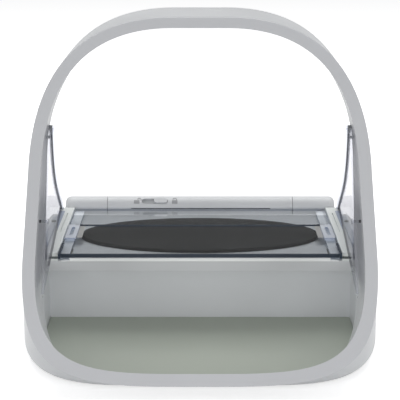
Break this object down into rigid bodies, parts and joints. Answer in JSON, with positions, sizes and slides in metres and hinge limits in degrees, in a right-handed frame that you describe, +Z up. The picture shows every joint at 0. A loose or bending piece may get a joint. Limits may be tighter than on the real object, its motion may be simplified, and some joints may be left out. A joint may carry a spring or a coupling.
{
  "type": "microchip pet feeder",
  "caption": "Tabletop pet feeder with an antenna hoop over an open bowl bay, a clear sliding lid, clear side wings and a rear battery housing.",
  "frame": {"origin": "on the surface that the feeder stands on, under the middle of its length and width", "axes": "+X to the pet's right as it faces the feeder, -Y to the front where the bowl bay is, +Z up"},
  "size_m": [0.231, 0.3178, 0.2105],
  "materials": {
    "shell_plastic": "satin",
    "clear_plastic": "clear gloss",
    "badge_plastic": "satin",
    "mat_rubber": "matt",
    "foot_rubber": "matt",
    "rail_plastic": "satin",
    "seal_plastic": "gloss",
    "gear_plastic": "satin",
    "steel": "plain",
    "screw_steel": "blackened",
    "coil_copper": "enamelled wire",
    "board_green": "satin",
    "chip_black": "satin",
    "cell_wrap": "satin",
    "tray_plastic": "satin",
    "button_grey": "satin"
  },
  "bodies": {
    "housing": {"base_tray": "shell_plastic", "bay_liner": "shell_plastic", "rubber_feet": "foot_rubber", "upper_body": "shell_plastic", "hoop_front": "shell_plastic", "hoop_shell": "shell_plastic", "antenna_coil": "coil_copper", "left_wing": "clear_plastic", "right_wing": "clear_plastic", "wing_screws": "screw_steel", "left_rail": "rail_plastic", "right_rail": "rail_plastic", "left_bracket": "clear_plastic", "right_bracket": "clear_plastic", "bracket_screws": "screw_steel", "rear_housing": "shell_plastic", "cover_hinge_pins": "steel", "oval_badge": "badge_plastic", "motor": "steel", "motor_cradle": "shell_plastic", "shaft_posts": "shell_plastic", "idler_axles": "steel", "battery_tray": "tray_plastic", "battery_cell_1": "cell_wrap", "battery_cell_2": "cell_wrap", "battery_cell_3": "cell_wrap", "battery_cell_4": "cell_wrap", "battery_contacts": "steel", "main_board": "board_green", "board_posts": "shell_plastic", "board_parts": "chip_black", "lid_switches": "chip_black", "button_board": "board_green", "button_board_posts": "shell_plastic", "light_window": "clear_plastic"},
    "lid": {"lid_panel": "clear_plastic", "lid_front_seal": "seal_plastic", "lid_stiffener": "seal_plastic", "lid_clips": "clear_plastic", "lid_side_seals": "seal_plastic", "left_carriage": "clear_plastic", "right_carriage": "clear_plastic"},
    "left_idler_gear": {"left_idler": "gear_plastic"},
    "right_idler_gear": {"right_idler": "gear_plastic"},
    "cross_shaft_set": {"cross_shaft": "steel", "end_gears": "gear_plastic", "drive_gear": "gear_plastic"},
    "pinion": {"motor_pinion": "gear_plastic", "motor_spindle": "steel"},
    "cover": {"battery_cover": "shell_plastic"},
    "lock": {"lock_knob": "shell_plastic"},
    "add_pet": {"add_pet_button": "button_grey"},
    "open": {"open_button": "button_grey"},
    "training": {"training_button": "button_grey"},
    "mat": {"bay_mat": "mat_rubber"}
  },
  "joints": [
    {"name": "lid_slide", "type": "slide", "parent": "housing", "child": "lid", "axis": [0, -1, 0], "range_m": [0, 0.096]},
    {"name": "left_idler_spin", "type": "hinge", "parent": "housing", "child": "left_idler_gear", "pos_m": [-0.09, -0.0145, 0.043], "axis": [1, 0, 0], "range_deg": [0, 983.21]},
    {"name": "right_idler_spin", "type": "hinge", "parent": "housing", "child": "right_idler_gear", "pos_m": [0.09, -0.0145, 0.043], "axis": [1, 0, 0], "range_deg": [0, 983.21]},
    {"name": "cross_shaft_spin", "type": "hinge", "parent": "housing", "child": "cross_shaft_set", "pos_m": [0, -0.0145, 0.0318], "axis": [1, 0, 0], "range_deg": [-983.21, 0]},
    {"name": "pinion_spin", "type": "hinge", "parent": "housing", "child": "pinion", "pos_m": [0, -0.0001, 0.0318], "axis": [1, 0, 0], "range_deg": [0, 1966.43]},
    {"name": "cover_hinge", "type": "hinge", "parent": "housing", "child": "cover", "pos_m": [0, 0.1495, 0.0375], "axis": [-1, 0, 0], "range_deg": [0, 80]},
    {"name": "lock_slide", "type": "slide", "parent": "cover", "child": "lock", "axis": [-1, 0, 0], "range_m": [0, 0.009]},
    {"name": "add_pet_press", "type": "slide", "parent": "housing", "child": "add_pet", "axis": [0, -1, 0], "range_m": [0, 0.0015], "stiffness_N_per_m": 400},
    {"name": "open_press", "type": "slide", "parent": "housing", "child": "open", "axis": [0, -1, 0], "range_m": [0, 0.0015], "stiffness_N_per_m": 400},
    {"name": "training_press", "type": "slide", "parent": "housing", "child": "training", "axis": [0, -1, 0], "range_m": [0, 0.0015], "stiffness_N_per_m": 400},
    {"name": "mat_lift", "type": "slide", "parent": "housing", "child": "mat", "axis": [0, 0, 1], "range_m": [0, 0.03]}
  ],
  "couplings": [
    {"joint": "left_idler_spin", "follows": "lid_slide", "rad_per_m": 178.57},
    {"joint": "right_idler_spin", "follows": "lid_slide", "rad_per_m": 178.57},
    {"joint": "cross_shaft_spin", "follows": "lid_slide", "rad_per_m": -178.57},
    {"joint": "pinion_spin", "follows": "lid_slide", "rad_per_m": 357.14}
  ]
}
